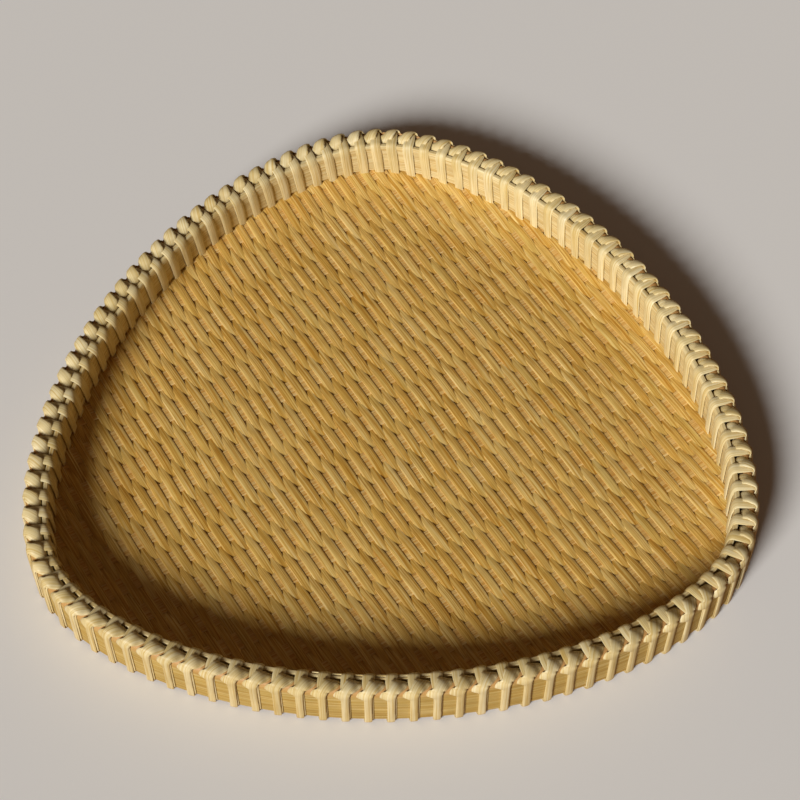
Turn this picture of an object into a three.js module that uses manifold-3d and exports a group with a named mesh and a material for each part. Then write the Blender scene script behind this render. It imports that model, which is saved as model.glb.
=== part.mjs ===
// Triangular draining tray of split bamboo: an interlaced mat held in a rim of two hoops that are
// lashed together. Millimetres, +Z up. The origin lies on the table under the middle of the tray,
// and one of the three rounded corners, the apex, points along +Y.
//
// The real mat has three narrow wefts for each weft band here: the bands cross over and under the
// warps in the same way, at three times the width.

import * as THREE from 'three';
import { mergeVertices } from 'three/addons/utils/BufferGeometryUtils.js';
import Module from 'manifold-3d';

// Overall size, measured over the lashing
const trayWidth = 241;
const trayDepth = 233.6;
const trayHeight = 20.4;
const cornerRadius = 41.8;

// Space left between pieces that bear on each other
const clearance = 0.3;

// Rim: two bent hoops, the outer one thick and the inner one thin
const outerHoopThickness = 3.2;
const innerHoopThickness = 1.4;
const looseGap = 0.5;
const hoopLap = 46;
const lapTip = 0.5;
const outerLapDirection = THREE.MathUtils.degToRad(58);
const innerLapDirection = THREE.MathUtils.degToRad(262);
const hoopStations = 72;

// Lashing: binding strands go round both hoops, and edge strands go round the outer hoop only.
// Each winding is made of equal pieces of strand, tucked in one after the other.
const strandThickness = 0.6;
const bindingWidth = 2.8;
const edgeWidth = 2.2;
const edgeBellyWidth = 3;
const edgeTipWidth = 2;
const strandPieceCount = 5;
const turnsPerPiece = 21;

// Where a strand lies, in shares of the distance from one turn to the next
const bindingSlantShare = 0.1;
const edgeDiveShare = 0.55;

// Mat: wefts run along the right-hand side of the tray, and warps run square to them
const weftCount = 31;
const warpCount = 17;
const weftThickness = 0.7;
const warpThickness = 0.8;
const warpWidth = 6.5;
const warpDirection = THREE.MathUtils.degToRad(30);
const dishRise = 2.7;
const dishRun = 25;
const warpStep = 11;

// Warps lie a little closer together at the front corner than at the back
const pitchGrowthShare = 0.015;
const frontBareShare = 0.18;
const backBareShare = -0.14;

// How far tools for cutting reach beyond what they cut
const overrun = 5;

// Insets of the rim's layers, measured inward from the outer face of the lashing
const strandSeat = strandThickness + clearance;
const outerHoopOutside = 2 * strandSeat;
const outerHoopInside = outerHoopOutside + outerHoopThickness;
const edgeLegOutside = outerHoopInside + clearance;
const edgeLegInside = edgeLegOutside + strandThickness;
const warpEndInset = edgeLegInside + clearance;
const innerHoopOutside = warpEndInset + looseGap;
const innerHoopInside = innerHoopOutside + innerHoopThickness;
const bindingLegOutside = innerHoopInside + clearance;
const rimInside = bindingLegOutside + strandThickness;
const weftEndInset = rimInside + clearance;

// Heights of the rim and the mat
const hoopBottom = 2 * strandSeat;
const hoopTop = trayHeight - 2 * strandSeat;
const weaveOffset = (warpThickness + weftThickness) / 2 + clearance;
const matThickness = 2 * weaveOffset + weftThickness;
const matMiddle = matThickness / 2;

// Outline: the distance from the origin to the tangent line that faces a direction. A ring of
// constant inset is then exact, and the radius of curvature has a closed form too.
const lobes = 3;
const apexDirection = Math.PI / 2;
const meanReach = (trayWidth + trayDepth) / 4;
const ovalReach = (trayWidth - trayDepth) / 4;
const lobeReach = (meanReach - cornerRadius) / (lobes ** 2 - 1);

function tangentReach(direction) {
  return meanReach + lobeReach * Math.cos(lobes * (direction - apexDirection))
    + ovalReach * Math.cos(2 * direction) - lobeReach * Math.sin(direction);
}

function tangentSlide(direction) {
  return -lobes * lobeReach * Math.sin(lobes * (direction - apexDirection))
    - 2 * ovalReach * Math.sin(2 * direction) - lobeReach * Math.cos(direction);
}

function rimPoint(direction, inset, height, along = 0) {
  const reach = tangentReach(direction) - inset;
  const slide = tangentSlide(direction) + along;
  const x = reach * Math.cos(direction) - slide * Math.sin(direction);
  const y = reach * Math.sin(direction) + slide * Math.cos(direction);
  return new THREE.Vector3(x, y, height);
}

// Length along the outer face from direction 0, and the direction found back from it
const rimLength = 2 * Math.PI * meanReach;

function lengthAt(direction) {
  const lobeTerm = (lobes ** 2 - 1) / lobes * lobeReach * Math.sin(lobes * (direction - apexDirection));
  const lobeStart = (lobes ** 2 - 1) / lobes * lobeReach * Math.sin(-lobes * apexDirection);
  return meanReach * direction - lobeTerm + lobeStart - 3 / 2 * ovalReach * Math.sin(2 * direction);
}

function directionAt(length) {
  let low = length / meanReach - Math.PI / 2;
  let high = length / meanReach + Math.PI / 2;
  for (let halving = 0; halving < 48; halving += 1) {
    const middle = (low + high) / 2;
    if (lengthAt(middle) < length) low = middle;
    else high = middle;
  }
  return (low + high) / 2;
}

// How far inside the outer face a point of the plan lies
const facingCount = 360;
const facings = Array.from({ length: facingCount }, (_, index) => {
  const direction = index / facingCount * 2 * Math.PI;
  return { x: Math.cos(direction), y: Math.sin(direction), reach: tangentReach(direction) };
});

function insetOf(x, y) {
  let least = Infinity;
  for (const facing of facings) {
    least = Math.min(least, facing.reach - x * facing.x - y * facing.y);
  }
  return least;
}

// The mat lies flat in the middle and rises gently toward and under the rim
function riseAtInset(inset) {
  return dishRise * Math.max(1 - (inset - rimInside) / dishRun, 0) ** 2;
}

function dishHeight(x, y) {
  return riseAtInset(insetOf(x, y));
}

// A closed solid through rings of points that lie one after the other
function loft(rings) {
  const sides = rings[0].length;
  const corners = rings.flat();
  const faces = [];
  for (let ring = 0; ring + 1 < rings.length; ring += 1) {
    for (let side = 0; side < sides; side += 1) {
      const here = ring * sides + side;
      const beside = ring * sides + (side + 1) % sides;
      faces.push([here, beside, beside + sides], [here, beside + sides, here + sides]);
    }
  }
  const last = (rings.length - 1) * sides;
  for (let side = 1; side + 1 < sides; side += 1) {
    faces.push([0, side + 1, side], [last, last + side, last + side + 1]);
  }
  const volume = faces.reduce((sum, [a, b, c]) => {
    return sum + corners[a].dot(new THREE.Vector3().crossVectors(corners[b], corners[c]));
  }, 0);
  const outward = volume > 0 ? faces : faces.map(([a, b, c]) => [a, c, b]);
  const geometry = new THREE.BufferGeometry();
  geometry.setAttribute('position', new THREE.Float32BufferAttribute(
    corners.flatMap((corner) => corner.toArray()), 3));
  geometry.setIndex(outward.flat());
  return geometry;
}

const innerHoopBottom = matThickness + riseAtInset(warpEndInset) + clearance;

// Joining and cutting
const wasm = await Module();
wasm.setup();

function toSolid(geometry) {
  const bare = geometry.clone();
  bare.deleteAttribute('normal');
  bare.deleteAttribute('uv');
  const merged = mergeVertices(bare);
  return new wasm.Manifold(new wasm.Mesh({
    numProp: 3,
    vertProperties: new Float32Array(merged.attributes.position.array),
    triVerts: new Uint32Array(merged.index.array),
  }));
}

function toGeometry(solid) {
  const mesh = solid.getMesh();
  const geometry = new THREE.BufferGeometry();
  geometry.setAttribute('position', new THREE.Float32BufferAttribute(mesh.vertProperties, 3));
  geometry.setIndex(new THREE.Uint32BufferAttribute(mesh.triVerts, 1));
  return geometry;
}

function largestPart(solid) {
  const parts = solid.decompose();
  return parts.reduce((best, part) => (part.volume() > best.volume() ? part : best));
}

// Hoops: each is one bent strip whose ends are pared thin and lie over each other
function hoop(outside, inside, bottom, top, lapDirection) {
  const start = lengthAt(lapDirection);
  const sections = [[0, inside - lapTip, inside], [hoopLap, outside + lapTip + clearance, inside]];
  const closing = [[0, outside, inside - lapTip - clearance], [hoopLap, outside, outside + lapTip]];
  const taper = ([, outFrom, inFrom], [, outTo, inTo], share) => {
    return [share * hoopLap, THREE.MathUtils.lerp(outFrom, outTo, share),
      THREE.MathUtils.lerp(inFrom, inTo, share)];
  };
  const startTurn = directionAt(start);
  const directions = Array.from({ length: hoopStations }, (_, index) => {
    return startTurn + index / hoopStations * 2 * Math.PI;
  });
  const lengths = directions.map((direction) => lengthAt(direction) - start);
  const inLap = lengths.filter((length) => length > clearance && length < hoopLap - clearance);
  const inBody = lengths.filter((length) => {
    return length > hoopLap + 2 * clearance && length < rimLength - 2 * clearance;
  });
  const lapShares = [0, ...inLap.map((length) => length / hoopLap), 1];
  const outline = [
    ...lapShares.map((share) => taper(sections[0], sections[1], share)),
    [hoopLap + clearance, outside, inside],
    ...inBody.map((length) => [length, outside, inside]),
    [rimLength - clearance, outside, inside],
    ...lapShares.map((share) => {
      const [length, outFace, inFace] = taper(closing[0], closing[1], share);
      return [rimLength + length, outFace, inFace];
    }),
  ];
  return loft(outline.map(([length, outFace, inFace]) => {
    const direction = directionAt(start + length);
    return [
      rimPoint(direction, outFace, bottom),
      rimPoint(direction, outFace, top),
      rimPoint(direction, inFace, top),
      rimPoint(direction, inFace, bottom),
    ];
  }));
}

// Lashing: a strand is a flat strip that stays square to the rim as it winds. Each ring of points
// is placed by its turn, by the inset and height of its outer face, and by those of its inner face.
const turnCount = strandPieceCount * turnsPerPiece;
const turnPitch = rimLength / turnCount;

function strandRing(turn, width, [outInset, outHeight], [inInset, inHeight]) {
  const direction = directionAt(turn * turnPitch);
  return [
    rimPoint(direction, outInset, outHeight, -width / 2),
    rimPoint(direction, outInset, outHeight, width / 2),
    rimPoint(direction, inInset, inHeight, width / 2),
    rimPoint(direction, inInset, inHeight, -width / 2),
  ];
}

// A binding strand starts and ends in a short tuck between the rim and the table
const bindingFace = strandSeat;
const bindingBack = strandSeat + strandThickness;

function bindingTuck(turn, inset) {
  return strandRing(turn, bindingWidth, [inset, bindingFace], [inset, bindingBack]);
}

function bindingStrand(firstTurn) {
  const rings = [bindingTuck(firstTurn, bindingBack + bindingWidth)];
  for (let turn = firstTurn; turn < firstTurn + turnsPerPiece; turn += 1) {
    const faceTop = trayHeight - bindingFace;
    const backTop = trayHeight - bindingBack;
    rings.push(
      strandRing(turn, bindingWidth, [bindingFace, bindingFace], [bindingBack, bindingBack]),
      strandRing(turn, bindingWidth, [bindingFace, faceTop], [bindingBack, backTop]),
      strandRing(turn, bindingWidth, [rimInside, faceTop], [bindingLegOutside, backTop]),
      strandRing(turn, bindingWidth, [rimInside, bindingFace], [bindingLegOutside, bindingBack]),
    );
    if (turn + 1 < firstTurn + turnsPerPiece) {
      rings.push(bindingTuck(turn + bindingSlantShare, outerHoopInside));
    }
  }
  rings.push(bindingTuck(firstTurn + turnsPerPiece - 1, rimInside - bindingWidth));
  return rings;
}

// An edge strand lies on the binding strand outside, slants over the outer hoop, and dives between
// the hoops just before the next binding strand
function edgeTuck(turn, inset) {
  return strandRing(turn, edgeTipWidth, [inset, 0], [inset, strandThickness]);
}

function edgeStrand(firstTurn) {
  const top = trayHeight;
  const under = trayHeight - strandThickness;
  const rings = [edgeTuck(firstTurn, strandThickness + edgeWidth)];
  for (let turn = firstTurn; turn < firstTurn + turnsPerPiece; turn += 1) {
    const dive = turn + edgeDiveShare;
    rings.push(
      strandRing(turn, edgeWidth, [0, 0], [strandThickness, strandThickness]),
      strandRing(turn, edgeBellyWidth, [0, top], [strandThickness, under]),
      strandRing(dive, edgeTipWidth, [edgeLegInside, top], [edgeLegOutside, under]),
      strandRing(dive, edgeTipWidth, [edgeLegInside, 0], [edgeLegOutside, strandThickness]),
    );
  }
  const lastDive = firstTurn + turnsPerPiece - 1 + edgeDiveShare;
  rings.push(edgeTuck(lastDive, edgeLegOutside - edgeTipWidth));
  return rings;
}

// The least distance between the turns of one strand, measured on points along its edges
function leastTurnGap(rings, ringsPerTurn) {
  const steps = 4;
  const spots = [];
  for (let ring = 0; ring + 1 < rings.length; ring += 1) {
    for (let step = 0; step < steps; step += 1) {
      const place = ring + step / steps;
      rings[ring].forEach((corner, side) => {
        spots.push({ place, point: corner.clone().lerp(rings[ring + 1][side], step / steps) });
      });
    }
  }
  let least = Infinity;
  spots.forEach((spot, index) => {
    for (const other of spots.slice(index + 1)) {
      if (other.place - spot.place >= ringsPerTurn / 2) {
        least = Math.min(least, spot.point.distanceTo(other.point));
      }
    }
  });
  return least;
}

// Slits in the mat's edge that the binding strands pass through
function bindingSlits() {
  const length = bindingWidth + 2 * clearance;
  const outside = innerHoopInside;
  const inside = rimInside + clearance;
  const slits = Array.from({ length: turnCount }, (_, turn) => {
    const below = strandRing(turn, length, [outside, -overrun], [inside, -overrun]);
    const above = strandRing(turn, length, [outside, innerHoopBottom + overrun],
      [inside, innerHoopBottom + overrun]);
    return toSolid(loft([below, above]));
  });
  return slits.reduce((joined, slit) => joined.add(slit));
}

// The room inside a ring of constant inset, from below the mat to above it
function roomInside(inset) {
  const outline = new THREE.Shape(Array.from({ length: hoopStations }, (_, index) => {
    const corner = rimPoint(index / hoopStations * 2 * Math.PI, inset, 0);
    return new THREE.Vector2(corner.x, corner.y);
  }));
  const room = new THREE.ExtrudeGeometry(outline, {
    depth: trayHeight + 2 * overrun,
    bevelEnabled: false,
  });
  room.translate(0, 0, -overrun);
  return toSolid(room);
}

// A strip of the mat. Its sections lie along one direction, each with a height above the mat's
// middle, and every corner follows the dish.
function matStrip(direction, offset, width, thickness, sections) {
  const along = new THREE.Vector2(Math.cos(direction), Math.sin(direction));
  const across = new THREE.Vector2(-along.y, along.x);
  return loft(sections.map(([place, height]) => {
    const corner = (side, face) => {
      const x = along.x * place + across.x * (offset + side * width / 2);
      const y = along.y * place + across.y * (offset + side * width / 2);
      const middle = matMiddle + dishHeight(x, y) + height;
      return new THREE.Vector3(x, y, middle + face * thickness / 2);
    };
    return [corner(-1, -1), corner(1, -1), corner(1, 1), corner(-1, 1)];
  }));
}

// Places of the warps, from the front corner to the back
const weftDirection = warpDirection + Math.PI / 2;
const matBack = tangentReach(weftDirection) - weftEndInset;
const matFront = weftEndInset - tangentReach(weftDirection + Math.PI);
const warpPitch = (matBack - matFront) / (warpCount + frontBareShare + backBareShare);
const warpPlaces = Array.from({ length: warpCount }, (_, index) => {
  const fromFirst = index + 1 / 2;
  const drift = pitchGrowthShare / 2 * fromFirst * (fromFirst - warpCount);
  return matFront + warpPitch * (frontBareShare + fromFirst + drift);
});

// Places of the wefts, from the left-hand corner to the right-hand side
const matRight = tangentReach(warpDirection) - weftEndInset;
const matLeft = weftEndInset - tangentReach(warpDirection + Math.PI);
const weftPitch = (matRight - matLeft) / weftCount;
const weftWidth = weftPitch - clearance;

// A warp runs level between the wefts, with sections only where the dish bends it
function warp(place) {
  const steps = Math.ceil((matRight - matLeft + 2 * overrun) / warpStep);
  const along = Array.from({ length: steps + 1 }, (_, step) => {
    return THREE.MathUtils.lerp(matLeft - overrun, matRight + overrun, step / steps);
  });
  const direction = new THREE.Vector2(Math.cos(warpDirection), Math.sin(warpDirection));
  const flat = along.map((length) => [-1, 1].every((side) => {
    const sideways = place + side * warpWidth / 2;
    return dishHeight(direction.x * length - direction.y * sideways,
      direction.y * length + direction.x * sideways) === 0;
  }));
  const kept = along.filter((_, index) => {
    return !(flat[index - 1] && flat[index] && flat[index + 1]);
  });
  return matStrip(warpDirection, place, warpWidth, warpThickness, kept.map((length) => [length, 0]));
}

// A weft passes over one warp and under the next, and its neighbours do the opposite
function weft(index) {
  const place = matLeft + (index + 1 / 2) * weftPitch;
  const reach = warpWidth / 2 + clearance;
  const sections = warpPlaces.flatMap((warpPlace, row) => {
    const height = (row + index) % 2 === 0 ? weaveOffset : -weaveOffset;
    return [[warpPlace - reach, height], [warpPlace + reach, height]];
  });
  const firstHeight = sections[0][1];
  const lastHeight = sections[sections.length - 1][1];
  const whole = [[matFront - overrun, firstHeight], ...sections, [matBack + overrun, lastHeight]];
  return matStrip(weftDirection, -place, weftWidth, weftThickness, whole);
}

// Materials
const paleStrand = new THREE.MeshStandardMaterial({ color: 0xe6cf9c, roughness: 0.55, metalness: 0 });
const tanHoop = new THREE.MeshStandardMaterial({ color: 0xb08d55, roughness: 0.5, metalness: 0 });
const goldenWeft = new THREE.MeshStandardMaterial({ color: 0xc99f5c, roughness: 0.6, metalness: 0 });
const brownWarp = new THREE.MeshStandardMaterial({ color: 0xa87a42, roughness: 0.6, metalness: 0 });

// Assembly
const tray = new THREE.Group();

function addPiece(name, geometry, material) {
  geometry.computeVertexNormals();
  const mesh = new THREE.Mesh(geometry, material);
  mesh.name = name;
  tray.add(mesh);
}

function numbered(name, index) {
  return `${name}_${String(index + 1).padStart(2, '0')}`;
}

addPiece('outer_hoop',
  hoop(outerHoopOutside, outerHoopInside, hoopBottom, hoopTop, outerLapDirection), tanHoop);
addPiece('inner_hoop',
  hoop(innerHoopOutside, innerHoopInside, innerHoopBottom, hoopTop, innerLapDirection), tanHoop);

let leastGap = Infinity;
for (let piece = 0; piece < strandPieceCount; piece += 1) {
  const binding = bindingStrand(piece * turnsPerPiece);
  const edge = edgeStrand(piece * turnsPerPiece);
  leastGap = Math.min(leastGap, leastTurnGap(binding, 5), leastTurnGap(edge, 4));
  addPiece(numbered('binding_strand', piece), loft(binding), paleStrand);
  addPiece(numbered('edge_strand', piece), loft(edge), paleStrand);
}
console.log(`least gap between turns of a strand: ${leastGap.toFixed(2)} mm`);

const warpRoom = roomInside(warpEndInset).subtract(bindingSlits());
warpPlaces.forEach((warpPlace, index) => {
  const fitted = largestPart(toSolid(warp(warpPlace)).intersect(warpRoom));
  addPiece(numbered('warp', index), toGeometry(fitted), brownWarp);
});
const weftRoom = roomInside(weftEndInset);
for (let index = 0; index < weftCount; index += 1) {
  const fitted = largestPart(toSolid(weft(index)).intersect(weftRoom));
  addPiece(numbered('weft', index), toGeometry(fitted), goldenWeft);
}

export default tray;
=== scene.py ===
# Looks of a woven bamboo draining basket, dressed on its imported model
import math

import bpy
import numpy as np
from mathutils import Matrix, Vector


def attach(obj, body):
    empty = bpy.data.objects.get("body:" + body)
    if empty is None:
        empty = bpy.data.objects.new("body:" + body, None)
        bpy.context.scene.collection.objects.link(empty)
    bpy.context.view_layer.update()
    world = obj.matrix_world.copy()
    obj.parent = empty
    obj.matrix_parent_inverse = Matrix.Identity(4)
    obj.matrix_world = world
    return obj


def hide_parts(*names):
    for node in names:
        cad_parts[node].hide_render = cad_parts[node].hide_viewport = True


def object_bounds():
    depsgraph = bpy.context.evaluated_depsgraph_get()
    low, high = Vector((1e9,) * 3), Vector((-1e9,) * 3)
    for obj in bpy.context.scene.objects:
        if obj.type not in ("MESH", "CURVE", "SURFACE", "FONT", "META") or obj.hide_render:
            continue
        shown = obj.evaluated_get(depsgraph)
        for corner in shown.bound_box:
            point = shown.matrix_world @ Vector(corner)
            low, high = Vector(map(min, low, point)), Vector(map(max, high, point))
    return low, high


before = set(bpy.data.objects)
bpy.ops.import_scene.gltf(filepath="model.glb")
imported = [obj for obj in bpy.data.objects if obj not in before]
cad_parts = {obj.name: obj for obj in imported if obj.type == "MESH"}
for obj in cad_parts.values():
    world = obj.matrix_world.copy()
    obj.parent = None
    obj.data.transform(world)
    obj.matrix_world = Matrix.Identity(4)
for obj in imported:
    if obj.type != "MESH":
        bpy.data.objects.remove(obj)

MM = 0.001
rng = np.random.default_rng(11)

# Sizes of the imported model, in millimetres
cad_low, cad_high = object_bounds()
TRAY_WIDTH = (cad_high.x - cad_low.x) / MM
TRAY_DEPTH = (cad_high.y - cad_low.y) / MM

# Outline of the rim: a circle's reach with a three-lobed and a small oval term
CORNER_RADIUS = 41.8
MEAN_REACH = (TRAY_WIDTH + TRAY_DEPTH) / 4
OVAL = (TRAY_WIDTH - TRAY_DEPTH) / 4
LOBES = 3
LOBE_STRENGTH = LOBES ** 2 - 1
LOBE = (MEAN_REACH - CORNER_RADIUS) / LOBE_STRENGTH
APEX = math.radians(90)
RIM_LENGTH = 2 * math.pi * MEAN_REACH

# Hoops: outer and inner face as insets from the lashing's outer face, bottom and top, and the
# corners' rounding across and up, from the outer bottom corner over the top to the inner one
OUTER_HOOP = (1.08, 4.75)
OUTER_HOOP_HEIGHTS = (1.0, 18.3)
OUTER_HOOP_ROUNDING = ((0.3, 0.4), (1.9, 2.7), (0.9, 1.1), (0.4, 0.5))
INNER_HOOP = (6.6, 8.4)
INNER_HOOP_HEIGHTS = (4.95, 17.8)
INNER_HOOP_ROUNDING = ((0.3, 0.3), (0.3, 0.3), (0.6, 1.8), (0.4, 0.4))
CORNER_STEPS = 6

# Laps of the hoops: where the ends are pared thin, the outer and the inner corners' rounding takes
# no more than a share of the thickness
OUTER_SHARE, INNER_SHARE = 0.6, 0.38
HOOP_LAP = 46
LAP_TIP = 0.5
LAP_ROWS = 16
LAP_MARGIN = 0.3
HOOP_STEP = 3
HOOP_FIBRE_SLANT = 0.7
OUTER_LAP_DIRECTION = math.radians(58)
INNER_LAP_DIRECTION = math.radians(262)
OUTER_HOOP_SEED, INNER_HOOP_SEED = 0.4, 0.7

# Lashing: five lengths of two strands, 21 turns each, and how finely their paths are cut
WINDINGS = 5
TURNS = 21
TURN_PITCH = RIM_LENGTH / (WINDINGS * TURNS)
PATH_STEP = 0.6
CORNER_CUT = 0.48
CORNER_STEP = 0.32
STRAND_SECTION = (12, 2.6, 0.2)
UNDER_WIDTH, UNDER_THICKNESS = 2.4, 0.45

# Binding strand: insets of its legs, heights of its runs, and its unevenness from turn to turn
BINDING_OUTSIDE, BINDING_INSIDE = 0.78, 8.75
BINDING_UNDER, BINDING_TOP = 0.72, 18.95
BINDING_UNEVENNESS = 0.12

# Edge strand: the same, with the share of a turn that it moves on before it dives
EDGE_OUTSIDE, EDGE_INSIDE = 0.27, 5.6
EDGE_UNDER, EDGE_TOP = 0.25, 20.0
EDGE_UNEVENNESS = 0.1
EDGE_DIVE = 0.58
LEG_MIDDLE = 12.4

# Core that a strand winds round: low and high inset, low and high height
BINDING_CORE = (2.5, 7.0, 3.5, 14.5)
EDGE_CORE = (2.0, 4.6, 3.0, 14.8)

# Ears of the folds over the shoulder: reach and the height where they end, then where they start,
# and how far the edge strand leans over on top
BINDING_EAR = (1.6, 18.5)
EDGE_EAR = (2.4, 19.5)
EAR_HEIGHTS = (15.5, 16.5)
EAR_INSET = 4.0
EAR_DROP = 0.2
EDGE_TILT = 0.5
TILT_HEIGHTS = (18.3, 19.5)

# Texture layout: the margin between two rows of strips, half the side of an end cap's square, the
# share of it that the cap's disc takes, and how the whole square grows until all of it fits
BAKE_MARGIN = 0.5
BAKE_CAP = 0.8
BAKE_DISC = 0.8
BAKE_GROWTH = 1.02

# Mat
WEAVE_DIRECTION = math.radians(30)
WEFT_BANDS = 31
WEFTS_PER_BAND = 3
WARPS = 17
MAT_MIDDLE = 1.12
DISH_RISE = 2.7
DISH_RUN = 25
DISH_INSET = 9
MAT_END_INSET = 6.1
MAT_REACH, MAT_STEP = 140, 0.25
SLOPE_STEP = 0.5

# Warps: the bare shares are of a warp's pitch, and the pitch grows from front to back
WARP_WIDTH = 6.5
WARP_THICKNESS = 0.5
WARP_SECTION = (16, 4.5, 0.0)
WARP_STEP = 1.6
WARP_SWELL = 0.12
WARP_INSET = 9.3
FRONT_BARE = 0.18
BACK_BARE = -0.14
PITCH_GROWTH = 0.015

# Wefts: they widen where they lie on or under a warp, and narrow where they pass through
WEFT_WIDTH = 2.7
WEFT_SWELL = 0.42
WEFT_THICKNESS = 0.38
WEFT_ARCH = 0.07
WEFT_SECTION = (12, 3.6, 0.1)
WEFT_STEP = 1.3
WEFT_UNEVENNESS = 0.04
WEAVE_OFFSET = 0.45
WEAVE_FLATNESS = 1.12
WEAVE_SHARPNESS = 1.5

# Fibre patterns: spacing across and along the strip, and detail
FINE_FIBRES = (0.16, 16, 4.0)
SPLIT_FIBRES = (0.42, 26, 2.0)
BROAD_STREAKS = (0.75, 55, 2.0)
BLOTCHES = (5.0, 9.0, 2.0)
SEED_SPREAD = 61.0

# Painted warm shade on the outer hoop's shoulder, partly its cut edge's own redder colour: from
# where to where below its top
SHOULDER_SHADE_FADE = (3.4, 0.6)

# Floor, light and camera
FLOOR_HALF = 3.0
FLOOR_GREY = 0.84
FILL_COLOUR, FILL_STRENGTH = (1.0, 0.62, 0.38, 1.0), 0.07
KEY_COLOUR, KEY_STRENGTH = (1.0, 0.97, 0.92), 3.6
KEY_ANGLE = math.radians(20)
KEY_AZIMUTH, KEY_ELEVATION = math.radians(236), math.radians(29)
SENSOR_WIDTH, LENS = 36, 82.125
CAMERA_PLACE = (-9.64, -356.8, 525.0)
CAMERA_FORWARD = (0.0221, 0.5679, -0.8228)
CAMERA_ROLL = math.radians(0.23)
UP = np.array([0, 0, 1.0])


# The rim faces a direction where its tangent stands at a reach from the middle, and the point of
# contact lies a slide along it. The last term centres the triangle
def tangent_reach(direction):
    return (MEAN_REACH + LOBE * np.cos(LOBES * (direction - APEX)) + OVAL * np.cos(2 * direction)
            - LOBE * np.sin(direction))


def tangent_slide(direction):
    return (-LOBES * LOBE * np.sin(LOBES * (direction - APEX))
            - 2 * OVAL * np.sin(2 * direction) - LOBE * np.cos(direction))


def rim_point(direction, inset, height):
    reach = tangent_reach(direction) - inset
    slide = tangent_slide(direction)
    return np.stack([reach * np.cos(direction) - slide * np.sin(direction),
                     reach * np.sin(direction) + slide * np.cos(direction),
                     height + 0 * direction], axis=-1)


def length_at(direction):
    swing = LOBE_STRENGTH / LOBES * LOBE
    return (MEAN_REACH * direction - swing * np.sin(LOBES * (direction - APEX))
            + swing * np.sin(-LOBES * APEX) - 1.5 * OVAL * np.sin(2 * direction))


table_directions = np.linspace(-math.pi, 5 * math.pi, 30001)
table_lengths = length_at(table_directions)
facings = np.linspace(0, 2 * math.pi, 721)[:-1]


def direction_at(length):
    return np.interp(length, table_lengths, table_directions)


def inset_of(points):
    reach = tangent_reach(facings)
    spans = points[:, :1] * np.cos(facings) + points[:, 1:2] * np.sin(facings)
    return (reach - spans).min(axis=1)


def dish_height(points):
    share = np.maximum(1 - (inset_of(points) - DISH_INSET) / DISH_RUN, 0)
    return DISH_RISE * share ** 2


# Sections of strips: points round the strip, across and through it, each from -1 to 1
def strip_section(count, power, crown):
    turn = 2 * math.pi * (np.arange(count) + 0.5) / count
    across = np.sign(np.cos(turn)) * np.abs(np.cos(turn)) ** (2 / power)
    through = np.sign(np.sin(turn)) * np.abs(np.sin(turn)) ** (2 / power)
    return np.stack([across, through * np.where(through > 0, 1 + crown, 1 - crown)], axis=-1)


def unit(vectors):
    return vectors / np.linalg.norm(vectors, axis=-1, keepdims=True)


def along_path(path):
    return np.concatenate([[0], np.cumsum(np.linalg.norm(np.diff(path, axis=0), axis=1))])


# One strip: rings of section points round a path, with what its material reads. The marks are the
# places across and along it and its seed, and the traits how near its edge a point is and its tint.
# An arch bends the strip across, so that its edges drop, and an ear widens it on one side
def strip(path, facing, widths, thicknesses, arches, section, seed, tint=None, ears=0.0):
    each = np.ones(len(path))
    heading = unit(np.gradient(path, axis=0))
    outward = unit(facing - heading * (facing * heading).sum(axis=1)[:, None])
    across = np.cross(heading, outward)
    wide = (section[:, 0][None, :] * (widths / 2 * each)[:, None]
            + np.minimum(section[:, 0], 0)[None, :] * (ears * each)[:, None])
    deep = (section[:, 1][None, :] * (thicknesses / 2 * each)[:, None]
            - section[:, 0][None, :] ** 2 * (arches * each)[:, None]
            - np.minimum(section[:, 0], 0)[None, :] ** 2 * (EAR_DROP * ears * each)[:, None])
    rings = (path[:, None, :] + across[:, None, :] * wide[..., None]
             + outward[:, None, :] * deep[..., None])
    marks = np.stack([wide, along_path(path)[:, None] + 0 * wide, seed + 0 * wide], axis=-1)
    traits = np.stack([np.abs(section[:, 0])[None, :] + 0 * wide,
                       ((seed if tint is None else tint) * each)[:, None] + 0 * wide,
                       0 * wide], axis=-1)
    return rings, marks, traits


# Texture layout of a piece: every strip unrolled flat and cut into rows of one square
def bake_rows(lengths, girths, side):
    rows, low = [], BAKE_MARGIN
    for along, girth in zip(lengths, girths):
        starts, lows, start = [], [], 0.0
        for here, after in zip(along[:-1], along[1:]):
            if after - start > side:
                start = here
                low += girth + BAKE_MARGIN
            starts.append(start)
            lows.append(low)
        low += girth + BAKE_MARGIN
        rows.append((np.array(starts), np.array(lows)))
    return rows, low


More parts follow.
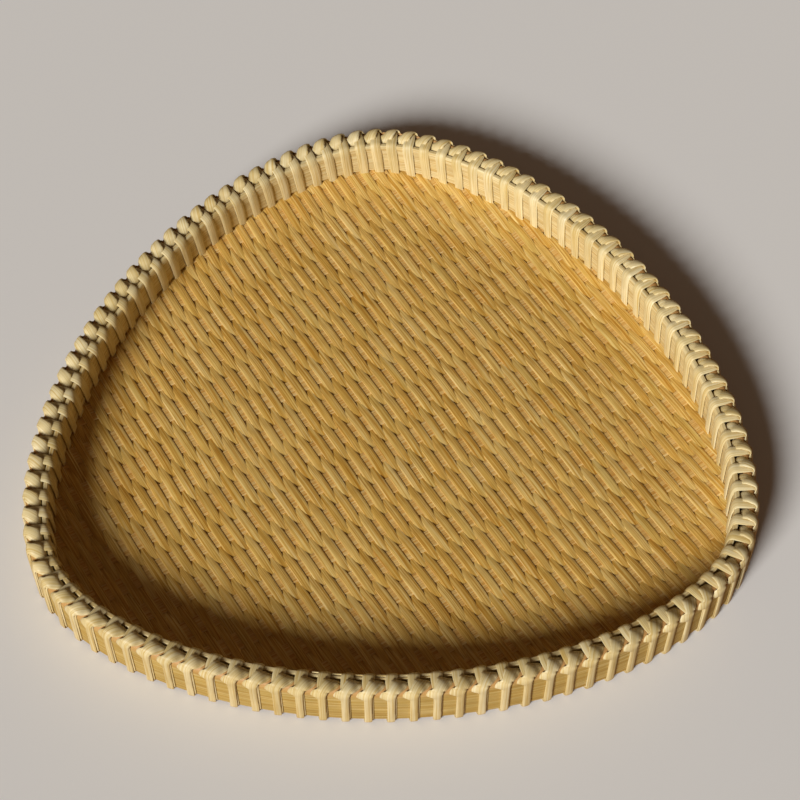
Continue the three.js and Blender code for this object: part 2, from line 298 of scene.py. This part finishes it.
def bake_layout(strips):
    lengths = [along_path(rings.mean(axis=1)) for rings, _, _ in strips]
    steps = [np.linalg.norm(np.roll(rings, -1, axis=1) - rings, axis=-1).mean(axis=0)
             for rings, _, _ in strips]
    girths = [step.sum() for step in steps]
    side = math.sqrt(sum(along[-1] * girth for along, girth in zip(lengths, girths)))
    rows, low = bake_rows(lengths, girths, side)
    while low + 2 * BAKE_CAP > side:
        side *= BAKE_GROWTH
        rows, low = bake_rows(lengths, girths, side)
    places = []
    for number, (along, step, (starts, lows)) in enumerate(zip(lengths, steps, rows)):
        rises = np.concatenate([[0], np.cumsum(step)])
        near = np.broadcast_to((along[:-1] - starts)[:, None], (len(starts), len(step)))
        far = np.broadcast_to((along[1:] - starts)[:, None], near.shape)
        bottom = lows[:, None] + rises[None, :-1]
        top = lows[:, None] + rises[None, 1:]
        places.append(np.stack([near, bottom, near, top, far, top, far, bottom],
                               axis=-1).reshape(-1, 2))
        turn = 2 * math.pi * np.arange(len(step)) / len(step)
        disc = BAKE_DISC * BAKE_CAP * np.stack([np.cos(turn), np.sin(turn)], axis=-1)
        for end, ring in ((0, disc[::-1]), (1, disc)):
            places.append(ring + [(4 * number + 2 * end + 1) * BAKE_CAP, low + BAKE_CAP])
    return np.concatenate(places) / (side + BAKE_MARGIN)


def make_piece(name, strips, material, nodes):
    corners, marks, traits, faces = [], [], [], []
    first = 0
    for rings, strip_marks, strip_traits in strips:
        count, sides = rings.shape[:2]
        index = first + np.arange(count * sides).reshape(count, sides)
        beside = np.roll(index, -1, axis=1)
        quads = np.stack([index[:-1], beside[:-1], beside[1:], index[1:]], axis=-1).reshape(-1, 4)
        faces.extend(quads.tolist())
        faces.append(index[0][::-1].tolist())
        faces.append(index[-1].tolist())
        corners.append(rings.reshape(-1, 3))
        marks.append(strip_marks.reshape(-1, 3))
        traits.append(strip_traits.reshape(-1, 3))
        first += count * sides
    mesh = bpy.data.meshes.new(name)
    mesh.from_pydata((np.concatenate(corners) * MM).tolist(), [], faces)
    for key, values in (("strip", marks), ("trait", traits)):
        layer = mesh.attributes.new(key, "FLOAT_VECTOR", "POINT")
        layer.data.foreach_set("vector", np.concatenate(values).astype(np.float32).ravel())
    layout = mesh.uv_layers.new(name="OFBake")
    layout.data.foreach_set("uv", bake_layout(strips).astype(np.float32).ravel())
    mesh.polygons.foreach_set("use_smooth", [True] * len(mesh.polygons))
    mesh.set_sharp_from_angle(angle=math.radians(60))
    mesh.materials.append(material)
    mesh.update()
    piece = bpy.data.objects.new(name, mesh)
    bpy.context.scene.collection.objects.link(piece)
    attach(piece, "root")
    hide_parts(*nodes)


# Material nodes
def tone(red, green, blue):
    shares = [value / 255 for value in (red, green, blue)]
    return tuple(((share + 0.055) / 1.055) ** 2.4 for share in shares) + (1.0,)


def add_node(tree, kind, inputs=None, **settings):
    node = tree.nodes.new("ShaderNode" + kind)
    for key, value in settings.items():
        setattr(node, key, value)
    for key, value in (inputs or {}).items():
        if isinstance(value, bpy.types.NodeSocket):
            tree.links.new(value, node.inputs[key])
        else:
            node.inputs[key].default_value = value
    return node


def grain(tree, marks, across, along, detail):
    scaled = add_node(tree, "VectorMath", {0: marks, 1: (1 / across, 1 / along, SEED_SPREAD)},
                      operation="MULTIPLY")
    noise = add_node(tree, "TexNoise", {"Vector": scaled.outputs[0], "Scale": 1.0,
                                        "Detail": detail})
    return noise.outputs["Fac"]


def ramp(tree, factor, stops):
    node = add_node(tree, "ValToRGB", {"Fac": factor})
    elements = node.color_ramp.elements
    while len(elements) < len(stops):
        elements.new(0.5)
    for element, (place, colour) in zip(elements, stops):
        element.position = place
        element.color = colour
    return node.outputs["Color"]


def blend(tree, mode, factor, first, second):
    return add_node(tree, "MixRGB", {"Fac": factor, "Color1": first, "Color2": second},
                    blend_type=mode).outputs["Color"]


def grey(value):
    return (value, value, value, 1.0)


# Split bamboo: every strip has its own tint, fibres and splits along it, streaks and blotches
def bamboo(name, tints, fibre_shade, streak, streak_amount, roughness, bump):
    material = bpy.data.materials.new(name)
    material.use_nodes = True
    tree = material.node_tree
    tree.nodes.clear()
    marks = add_node(tree, "Attribute", attribute_name="strip").outputs["Vector"]
    traits = add_node(tree, "Attribute", attribute_name="trait").outputs["Vector"]
    trait = add_node(tree, "SeparateXYZ", {"Vector": traits}).outputs
    stops = [(index / (len(tints) - 1), tint) for index, tint in enumerate(tints)]
    colour = ramp(tree, trait["Y"], stops)
    fine = grain(tree, marks, *FINE_FIBRES)
    broad = grain(tree, marks, *BROAD_STREAKS)
    cloud = grain(tree, marks, *BLOTCHES)
    split = grain(tree, marks, *SPLIT_FIBRES)
    streaks = ramp(tree, broad, [(0.46, grey(0)), (0.66, grey(streak_amount))])
    colour = blend(tree, "MIX", streaks, colour, streak)
    colour = blend(tree, "MULTIPLY", 1.0, colour,
                   ramp(tree, fine, [(0.3, fibre_shade), (0.6, grey(1))]))
    colour = blend(tree, "MULTIPLY", 1.0, colour,
                   ramp(tree, cloud, [(0.3, grey(0.86)), (0.7, grey(1))]))
    colour = blend(tree, "MULTIPLY", 1.0, colour,
                   ramp(tree, split, [(0.34, fibre_shade), (0.54, grey(1))]))
    pale = ramp(tree, split, [(0.56, grey(0)), (0.7, grey(0.3))])
    colour = blend(tree, "MIX", pale, colour, tone(252, 232, 180))
    # Strips turn paler towards their edges
    lighter_edges = ramp(tree, trait["X"], [(0.82, grey(0)), (1.0, grey(0.22))])
    colour = blend(tree, "SCREEN", lighter_edges, colour, tone(236, 214, 160))
    gloss = ramp(tree, fine, [(0.3, grey(roughness + 0.12)), (0.7, grey(roughness))])
    relief = add_node(tree, "Bump", {"Height": fine, "Strength": 0.5, "Distance": bump * MM})
    shader = add_node(tree, "BsdfPrincipled", {
        "Base Color": colour, "Roughness": gloss, "Specular IOR Level": 0.35,
        "Normal": relief.outputs["Normal"]})
    output = add_node(tree, "OutputMaterial")
    tree.links.new(shader.outputs[0], output.inputs["Surface"])
    return material, tree, shader


# The outer hoop's pared shoulder is painted darker and redder than its face: partly the cut edge's
# own colour, partly painted warm shade that stands in for warm bounce light
def paint_shoulder_shade(tree, shader, height, shoulder_shade_tone):
    place = add_node(tree, "TexCoord").outputs["Object"]
    level = add_node(tree, "SeparateXYZ", {"Vector": place}).outputs["Z"]
    start, end = [(height - depth) * MM for depth in SHOULDER_SHADE_FADE]
    share = add_node(tree, "MapRange", {"Value": level, "From Min": start,
                                        "From Max": end}).outputs["Result"]
    colour = shader.inputs["Base Color"].links[0].from_socket
    mixed = blend(tree, "MIX", share, colour, shoulder_shade_tone)
    tree.links.new(mixed, shader.inputs["Base Color"])


# Weave: the warps' places from front to back
def warp_places():
    across = WEAVE_DIRECTION + math.pi / 2
    front = WARP_INSET - tangent_reach(across + math.pi)
    back = tangent_reach(across) - WARP_INSET
    pitch = (back - front) / (WARPS + FRONT_BARE + BACK_BARE)
    place = np.arange(WARPS) + 0.5
    return front + pitch * (FRONT_BARE + place + PITCH_GROWTH / 2 * place * (place - WARPS))


# How high a weft runs, from -1 to 1, at a place counted in warps
def weave(count):
    wave = np.sin(math.pi / 2 * np.clip(WEAVE_FLATNESS * np.cos(math.pi * count), -1, 1))
    return wave * np.abs(wave) ** WEAVE_SHARPNESS


warp_run = np.array([math.cos(WEAVE_DIRECTION), math.sin(WEAVE_DIRECTION), 0])
weft_run = np.array([-math.sin(WEAVE_DIRECTION), math.cos(WEAVE_DIRECTION), 0])


def mat_span(offset, run, across):
    steps = np.arange(-MAT_REACH, MAT_REACH, MAT_STEP)
    line = offset * across + steps[:, None] * run
    inside = steps[inset_of(line) >= MAT_END_INSET]
    return inside.min(), inside.max()


def mat_path(places, offsets, run, across, lift):
    flat = places[:, None] * run + offsets[:, None] * across
    aside = SLOPE_STEP * across
    slope = (dish_height(flat + aside) - dish_height(flat - aside)) / (2 * SLOPE_STEP)
    path = flat + UP * (MAT_MIDDLE + dish_height(flat) + lift)[:, None]
    facing = UP - across * slope[:, None]
    return path, facing


# Neighbouring wefts bend together
def drift(along, place):
    return (0.4 * np.sin(along / 43 + place / 61) + 0.22 * np.sin(along / 17 + place / 29 + 1)
            + 0.12 * np.sin(along / 9 - place / 23 + 2))


def weft_strip(index, places):
    left = MAT_END_INSET - tangent_reach(WEAVE_DIRECTION + math.pi)
    right = tangent_reach(WEAVE_DIRECTION) - MAT_END_INSET
    total = WEFT_BANDS * WEFTS_PER_BAND
    offset = left + (right - left) * (index + 0.5) / total
    start, end = mat_span(offset, weft_run, warp_run)
    along = np.linspace(start, end, max(int((end - start) / WEFT_STEP), 5))
    steps = np.diff(places)
    marks = np.concatenate([[places[0] - steps[0]], places, [places[-1] + steps[-1]]])
    count = np.interp(along, marks, np.arange(-1, len(places) + 1))
    over = weave(count) * (1 if index % 2 == 0 else -1)
    phase = rng.uniform(0, 6.28, 3)
    wander = 0.07 * np.sin(along / 11 + phase[0]) + rng.normal(0, WEFT_UNEVENNESS)
    path, facing = mat_path(along, offset + drift(along, offset) + wander, weft_run, warp_run,
                            WEAVE_OFFSET * over)
    swell = 0.07 * np.sin(along / 19 + phase[1]) + rng.normal(0, WEFT_UNEVENNESS)
    widths = WEFT_WIDTH + WEFT_SWELL * np.sqrt(np.abs(over)) + swell
    thicknesses = WEFT_THICKNESS * (1 + 0.08 * np.sin(along / 13 + phase[2]))
    return strip(path, facing, widths, thicknesses, WEFT_ARCH * over,
                 strip_section(*WEFT_SECTION), rng.uniform(0, 1))


def make_mat(weft_look, warp_look):
    places = warp_places()
    for band in range(WEFT_BANDS):
        strips = [weft_strip(band * WEFTS_PER_BAND + step, places)
                  for step in range(WEFTS_PER_BAND)]
        make_piece(f"weft_strips_{band + 1:02d}", strips, weft_look,
                   [f"weft_{band + 1:02d}"])
    for index, offset in enumerate(places):
        start, end = mat_span(offset, warp_run, weft_run)
        along = np.linspace(start, end, int((end - start) / WARP_STEP))
        phase = rng.uniform(0, 6.28, 2)
        wander = 0.25 * np.sin(along / 37 + phase[0]) + 0.1 * np.sin(along / 12 + phase[1])
        path, facing = mat_path(along, -(offset + wander), warp_run, -weft_run, 0 * along)
        strips = [strip(path, facing, WARP_WIDTH + WARP_SWELL * np.sin(along / 23),
                        WARP_THICKNESS, 0.0, strip_section(*WARP_SECTION), rng.uniform(0, 1))]
        make_piece(f"warp_strip_{index + 1:02d}", strips, warp_look,
                   [f"warp_{index + 1:02d}"])


# Section of a hoop: its corners are quarter ellipses, cut down where the ends are pared thin
def slab_section(outside, inside, bottom, top, rounding):
    thickness = abs(inside - outside)
    corners = [(outside, bottom, 1, 1, 270), (outside, top, 1, -1, 180),
               (inside, top, -1, -1, 90), (inside, bottom, -1, 1, 0)]
    points = []
    for (inset, height, inward, upward, start), (deep, tall) in zip(corners, rounding):
        deep = min(deep, thickness * (OUTER_SHARE if inward > 0 else INNER_SHARE))
        centre = (inset + inward * deep, height + upward * tall)
        for step in range(CORNER_STEPS + 1):
            turn = math.radians(start - 90 / CORNER_STEPS * step)
            points.append((centre[0] + deep * math.cos(turn), centre[1] + tall * math.sin(turn)))
    return points


# A hoop is one bent strip whose pared ends lie over each other
def hoop(outside, inside, bottom, top, lap_direction, rounding, seed):
    start = length_at(lap_direction)
    share = np.linspace(0, 1, LAP_ROWS)
    body = np.arange(HOOP_LAP + LAP_MARGIN, RIM_LENGTH - LAP_MARGIN, HOOP_STEP)
    rows = [(step * HOOP_LAP, inside - LAP_TIP + step * (outside + 2 * LAP_TIP - inside), inside)
            for step in share]
    rows += [(length, outside, inside) for length in body]
    rows += [(RIM_LENGTH + step * HOOP_LAP, outside,
              inside - LAP_TIP + step * (outside + 2 * LAP_TIP - inside)) for step in share]
    rings, marks, traits = [], [], []
    for length, out_face, in_face in rows:
        direction = direction_at(start + length)
        section = np.array(slab_section(out_face, in_face, bottom, top, rounding))
        rings.append(rim_point(np.full(len(section), direction), section[:, 0], section[:, 1]))
        marks.append([(height + HOOP_FIBRE_SLANT * inset, length, seed)
                      for inset, height in section])
        traits.append([(0, seed, 0)] * len(section))
    return np.array(rings), np.array(marks), np.array(traits)


# Lashing: each corner of a strand's path has its place along the rim, its inset and height, the
# strand's width, thickness and arch there, and the corner's radius
def rounded_path(corners):
    corners = np.array(corners, float)
    places, radii = corners[:, :3], corners[:, 6]
    spans = np.linalg.norm(np.diff(places, axis=0), axis=1)
    rows = []
    for index in range(len(corners)):
        here = corners[index, :6]
        if index in (0, len(corners) - 1):
            rows.append(here[None, :])
            continue
        before, after = spans[index - 1], spans[index]
        cut_in = min(radii[index], before * CORNER_CUT) / before
        cut_out = min(radii[index], after * CORNER_CUT) / after
        first = here + (corners[index - 1, :6] - here) * cut_in
        last = here + (corners[index + 1, :6] - here) * cut_out
        share = np.linspace(0, 1, max(5, int(radii[index] / CORNER_STEP)))[:, None]
        rows.append((1 - share) ** 2 * first + 2 * share * (1 - share) * here + share ** 2 * last)
    joined = [rows[0]]
    for before, after in zip(rows, rows[1:]):
        gap = np.linalg.norm(after[0, :3] - before[-1, :3])
        count = int(gap / PATH_STEP)
        share = (np.arange(count) + 1)[:, None] / (count + 1)
        joined.append(before[-1] + share * (after[0] - before[-1]))
        joined.append(after)
    return np.concatenate(joined)


def smooth_step(values, start, end):
    share = np.clip((values - start) / (end - start), 0, 1)
    return share * share * (3 - 2 * share)


# A strand's fold over the shoulder sticks out on its clockwise side
def fold_ear(insets, heights, reach, top):
    rise = smooth_step(heights, *EAR_HEIGHTS)
    fall = 1 - np.clip((heights - EAR_HEIGHTS[1]) / (top - EAR_HEIGHTS[1]), 0, 1) ** 2
    return reach * rise * fall * (insets < EAR_INSET)


# A strand faces away from the nearest place of its core, and on top it may lean counter-clockwise
def lashing_strip(corners, core, tints, seed, ear, tilt):
    rows = rounded_path(corners)
    direction, insets, heights = direction_at(rows[:, 0]), rows[:, 1], rows[:, 2]
    path = rim_point(direction, insets, heights)
    radial = np.stack([np.cos(direction), np.sin(direction), 0 * direction], axis=-1)
    tangent = np.stack([-np.sin(direction), np.cos(direction), 0 * direction], axis=-1)
    facing = unit(radial * (np.clip(insets, *core[:2]) - insets)[:, None]
                  + UP * (heights - np.clip(heights, *core[2:]))[:, None])
    facing = facing + tangent * (tilt * smooth_step(heights, *TILT_HEIGHTS))[:, None]
    tint = np.interp(rows[:, 0] / TURN_PITCH, np.arange(len(tints)), tints)
    return strip(path, facing, rows[:, 3], rows[:, 4], rows[:, 5],
                 strip_section(*STRAND_SECTION), seed, tint, fold_ear(insets, heights, *ear))


# The binding strand runs straight over both hoops, and its inner legs lean clockwise downwards
def binding_corners(first):
    tuck = (BINDING_UNDER, UNDER_WIDTH, UNDER_THICKNESS, 0, 0)
    rows = [(first * TURN_PITCH, 4.6, *tuck)]
    for turn in range(first, first + TURNS):
        here = turn * TURN_PITCH
        jog = rng.normal(0, BINDING_UNEVENNESS, 3)
        rows += [
            (here + 0.2, BINDING_OUTSIDE, BINDING_UNDER, 2.9, 0.46, 0.05, 1.2),
            (here + 0.2 + jog[0], BINDING_OUTSIDE, LEG_MIDDLE, 2.9, 0.46, 0.12, 2.0),
            (here + 0.1 + jog[0], BINDING_OUTSIDE + 0.06, BINDING_TOP, 3.0, 0.5, 0.15, 4.6),
            (here + jog[1], 4.9, BINDING_TOP, 3.8, 0.55, 0.25, 1.0),
            (here + 0.3 + jog[1], 8.85, 18.3, 4.0, 0.6, 0.25, 3.9),
            (here - 0.7 + jog[2], 9.0, 11, 3.7, 0.55, 0.12, 2.0),
            (here - 2.0, BINDING_INSIDE, BINDING_UNDER, 3.0, 0.45, 0, 0.9),
        ]
        if turn + 1 < first + TURNS:
            rows += [
                (here + 0.1 * TURN_PITCH, 5.0, BINDING_UNDER, 2.5, 0.45, 0, 0.6),
                (here + TURN_PITCH - 0.8, 3.0, BINDING_UNDER, 2.4, 0.45, 0, 1.5),
            ]
    rows.append(((first + TURNS - 1) * TURN_PITCH - 0.6, 6.0, *tuck))
    return rows


# The edge strand leaves its leg counter-clockwise, like a cushion, and dives between the hoops
def edge_corners(first):
    rows = [(first * TURN_PITCH, 2.8, EDGE_UNDER, 2.2, UNDER_THICKNESS, 0, 0)]
    for turn in range(first, first + TURNS):
        here = turn * TURN_PITCH
        dive = here + EDGE_DIVE * TURN_PITCH
        jog = rng.normal(0, EDGE_UNEVENNESS, 2)
        rows += [
            (here, EDGE_OUTSIDE, EDGE_UNDER, 2.4, 0.46, 0, 1.2),
            (here + jog[0], EDGE_OUTSIDE + 0.03, LEG_MIDDLE, 2.5, 0.5, 0.15, 2.0),
            (here + jog[0], 0.5, 19.2, 2.8, 0.6, 0.25, 4.2),
            (here + 1.6 + jog[0], 2.9, EDGE_TOP, 4.7, 0.75, 0.45, 2.2),
            (dive - 0.45 + jog[1], 5.75, 17.9, 4.9, 0.75, 0.45, 1.5),
            (dive - 0.4 + jog[1], 6.15, 14.5, 3.8, 0.6, 0.1, 0.8),
            (dive, EDGE_INSIDE + 0.2, 10, 2.6, 0.5, 0, 1.0),
            (dive, EDGE_INSIDE, EDGE_UNDER, 2.0, 0.45, 0, 0.6),
        ]
        if turn + 1 < first + TURNS:
            rows.append((here + TURN_PITCH - 0.9, 3.0, EDGE_UNDER, 2.3, 0.45, 0, 1.5))
    rows.append(((first + TURNS - 1 + 0.45) * TURN_PITCH, 3.4, EDGE_UNDER, 2.0,
                 UNDER_THICKNESS, 0, 0))
    return rows


def make_rim(inner_look, outer_look, strand_look):
    outer = hoop(*OUTER_HOOP, *OUTER_HOOP_HEIGHTS, OUTER_LAP_DIRECTION, OUTER_HOOP_ROUNDING,
                 OUTER_HOOP_SEED)
    make_piece("outer_hoop_strip", [outer], outer_look, ["outer_hoop"])
    inner = hoop(*INNER_HOOP, *INNER_HOOP_HEIGHTS, INNER_LAP_DIRECTION, INNER_HOOP_ROUNDING,
                 INNER_HOOP_SEED)
    make_piece("inner_hoop_strip", [inner], inner_look, ["inner_hoop"])
    for winding in range(WINDINGS):
        first = winding * TURNS
        for kind, corners, core, ear, tilt in (
                ("binding", binding_corners(first), BINDING_CORE, BINDING_EAR, 0),
                ("edge", edge_corners(first), EDGE_CORE, EDGE_EAR, EDGE_TILT)):
            tints = rng.uniform(0, 1, WINDINGS * TURNS + 2)
            make_piece(f"{kind}_lashing_{winding + 1:02d}",
                       [lashing_strip(corners, core, tints, rng.uniform(), ear, tilt)],
                       strand_look, [f"{kind}_strand_{winding + 1:02d}"])


def make_looks():
    strand, _, _ = bamboo(
        "pale_strand", [tone(236, 222, 178), tone(242, 230, 190), tone(230, 214, 164),
                        tone(236, 220, 174)],
        tone(238, 226, 194), tone(216, 192, 132), 0.35, 0.42, 0.03)
    inner_hoop, _, _ = bamboo(
        "hoop_bamboo", [tone(238, 224, 178), tone(232, 216, 168)], tone(236, 222, 190),
        tone(208, 178, 118), 0.5, 0.45, 0.04)
    outer_hoop, tree, shader = bamboo(
        "hoop_bamboo_cut_edge_and_painted_shade", [tone(210, 186, 116), tone(200, 176, 108)], tone(238, 224, 192),
        tone(180, 146, 82), 0.4, 0.45, 0.04)
    # The shoulder tone is partly cut-edge colour and partly painted warm shade
    paint_shoulder_shade(tree, shader, OUTER_HOOP_HEIGHTS[1], tone(194, 150, 92))
    weft, _, _ = bamboo(
        "weft_bamboo", [tone(242, 206, 118), tone(248, 218, 138), tone(234, 196, 104),
                        tone(242, 204, 114), tone(238, 210, 126)],
        tone(222, 198, 144), tone(212, 170, 84), 0.5, 0.45, 0.06)
    warp, _, _ = bamboo(
        "warp_bamboo", [tone(232, 196, 120), tone(238, 202, 128), tone(226, 188, 110)],
        tone(236, 214, 174), tone(212, 172, 100), 0.3, 0.5, 0.06)
    return strand, inner_hoop, outer_hoop, weft, warp


# The floor looks pale, but throws light back as the wood in the photo does
def plain_floor():
    material = bpy.data.materials.new("plain_floor")
    material.use_nodes = True
    tree = material.node_tree
    shader = tree.nodes["Principled BSDF"]
    seen = add_node(tree, "LightPath").outputs["Is Camera Ray"]
    tree.links.new(blend(tree, "MIX", seen, tone(150, 108, 70), grey(FLOOR_GREY)),
                   shader.inputs["Base Color"])
    shader.inputs["Roughness"].default_value = 0.9
    half = FLOOR_HALF
    mesh = bpy.data.meshes.new("floor")
    mesh.from_pydata([(-half, -half, 0), (half, -half, 0), (half, half, 0), (-half, half, 0)],
                     [], [(0, 1, 2, 3)])
    mesh.materials.append(material)
    floor = bpy.data.objects.new("floor", mesh)
    bpy.context.scene.collection.objects.link(floor)


def studio_light():
    world = bpy.data.worlds.new("studio")
    bpy.context.scene.world = world
    world.use_nodes = True
    background = world.node_tree.nodes["Background"]
    background.inputs["Color"].default_value = FILL_COLOUR
    background.inputs["Strength"].default_value = FILL_STRENGTH
    lamp = bpy.data.lights.new("key", "SUN")
    lamp.energy = KEY_STRENGTH
    lamp.color = KEY_COLOUR
    lamp.angle = KEY_ANGLE
    key = bpy.data.objects.new("key", lamp)
    toward = Vector((math.cos(KEY_AZIMUTH) * math.cos(KEY_ELEVATION),
                     math.sin(KEY_AZIMUTH) * math.cos(KEY_ELEVATION), math.sin(KEY_ELEVATION)))
    key.rotation_euler = toward.to_track_quat("Z", "Y").to_euler()
    bpy.context.scene.collection.objects.link(key)


def photo_camera():
    data = bpy.data.cameras.new("camera")
    data.sensor_width = SENSOR_WIDTH
    data.lens = LENS
    data.clip_start = 0.01
    camera = bpy.data.objects.new("camera", data)
    forward = Vector(CAMERA_FORWARD).normalized()
    side = forward.cross(Vector((0, 0, 1))).normalized()
    rise = side.cross(forward)
    right = math.cos(CAMERA_ROLL) * side + math.sin(CAMERA_ROLL) * rise
    up = math.cos(CAMERA_ROLL) * rise - math.sin(CAMERA_ROLL) * side
    turn = Matrix((right, up, -forward)).transposed().to_4x4()
    camera.matrix_world = Matrix.Translation(Vector(CAMERA_PLACE) * MM) @ turn
    bpy.context.scene.collection.objects.link(camera)
    bpy.context.scene.camera = camera


bpy.context.scene.view_settings.view_transform = "Standard"
strand_look, inner_hoop_look, outer_hoop_look, weft_look, warp_look = make_looks()
make_rim(inner_hoop_look, outer_hoop_look, strand_look)
make_mat(weft_look, warp_look)
plain_floor()
studio_light()
photo_camera()
